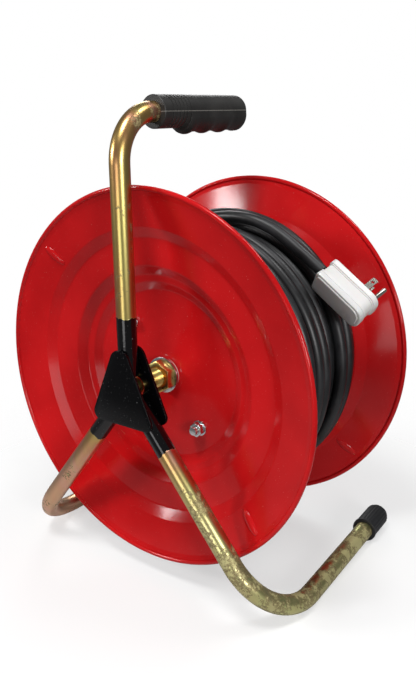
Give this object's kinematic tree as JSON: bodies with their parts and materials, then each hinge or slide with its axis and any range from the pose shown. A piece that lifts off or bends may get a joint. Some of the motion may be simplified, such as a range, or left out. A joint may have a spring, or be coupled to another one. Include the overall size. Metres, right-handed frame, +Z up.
{
  "type": "extension cord reel",
  "caption": "Carry-handle extension cord reel: heavy cord on a dished metal reel that turns on a one-sided tube stand, outlets on its open side.",
  "frame": {"origin": "on the floor, under the middle of the object's box measured without the cord and its plug", "axes": "+X along the axle from the stand to the open side, +Z up, +Y to the left of someone looking along +X"},
  "size_m": [0.2726, 0.38, 0.4843],
  "materials": {
    "yellow_zinc_tube": "yellow-passivated zinc plating",
    "black_gloss_paint": "gloss black paint",
    "gold_zinc_thread": "gold-passivated zinc plating",
    "bright_zinc": "bright zinc plating",
    "grip_rubber": "matte moulded rubber",
    "cap_rubber": "matte moulded rubber",
    "red_enamel": "gloss red stove enamel",
    "nylon": "natural nylon",
    "black_moulding": "textured black moulding",
    "outlet_plastic": "gloss black moulding",
    "button_plastic": "gloss red button",
    "cord_rubber": "satin rubber sheath",
    "white_plug": "gloss white moulding",
    "nickel_pin": "nickel-plated brass"
  },
  "bodies": {
    "stand": {"axle_shaft": "gold_zinc_thread", "far_axle_nut": "gold_zinc_thread", "far_axle_washer": "bright_zinc", "handle_grip": "grip_rubber", "handle_tube": "yellow_zinc_tube", "inner_gusset_plate": "black_gloss_paint", "left_foot_cap": "cap_rubber", "left_leg_tube": "yellow_zinc_tube", "near_axle_nut": "gold_zinc_thread", "near_axle_washer": "bright_zinc", "outer_gusset_plate": "black_gloss_paint", "right_foot_cap": "cap_rubber", "right_leg_tube": "yellow_zinc_tube"},
    "reel": {"cord_free_end": "cord_rubber", "cord_gland": "cap_rubber", "cord_winding": "cord_rubber", "cover_screws": "bright_zinc", "drum_core": "red_enamel", "far_bush": "nylon", "far_disc": "red_enamel", "hub_tube": "red_enamel", "inner_lead": "cord_rubber", "knob_spindle": "bright_zinc", "near_bush": "nylon", "near_disc": "red_enamel", "outlet_bottom": "outlet_plastic", "outlet_left": "outlet_plastic", "outlet_right": "outlet_plastic", "outlet_top": "outlet_plastic", "plug_back": "white_plug", "plug_blades": "nickel_pin", "plug_body": "white_plug", "plug_ground_pin": "nickel_pin", "socket_cover": "black_moulding", "terminal_block": "black_moulding", "thermal_cutout": "black_moulding", "tie_bolt_nuts": "bright_zinc", "tie_bolt_washers": "bright_zinc", "tie_bolts": "bright_zinc"},
    "knob": {"winding_knob": "black_moulding"},
    "button": {"reset_button": "button_plastic"}
  },
  "joints": [
    {"name": "reel_spin", "type": "hinge", "parent": "stand", "child": "reel", "pos_m": [-0.10515, 0, 0.211], "axis": [1, 0, 0], "continuous": true},
    {"name": "knob_spin", "type": "hinge", "parent": "reel", "child": "knob", "pos_m": [0.10485, 0.07046, 0.10534], "axis": [1, 0, 0], "continuous": true},
    {"name": "button_press", "type": "slide", "parent": "reel", "child": "button", "axis": [-1, 0, 0], "range_m": [0, 0.002], "stiffness_N_per_m": 300, "springref_m": -0.002}
  ]
}
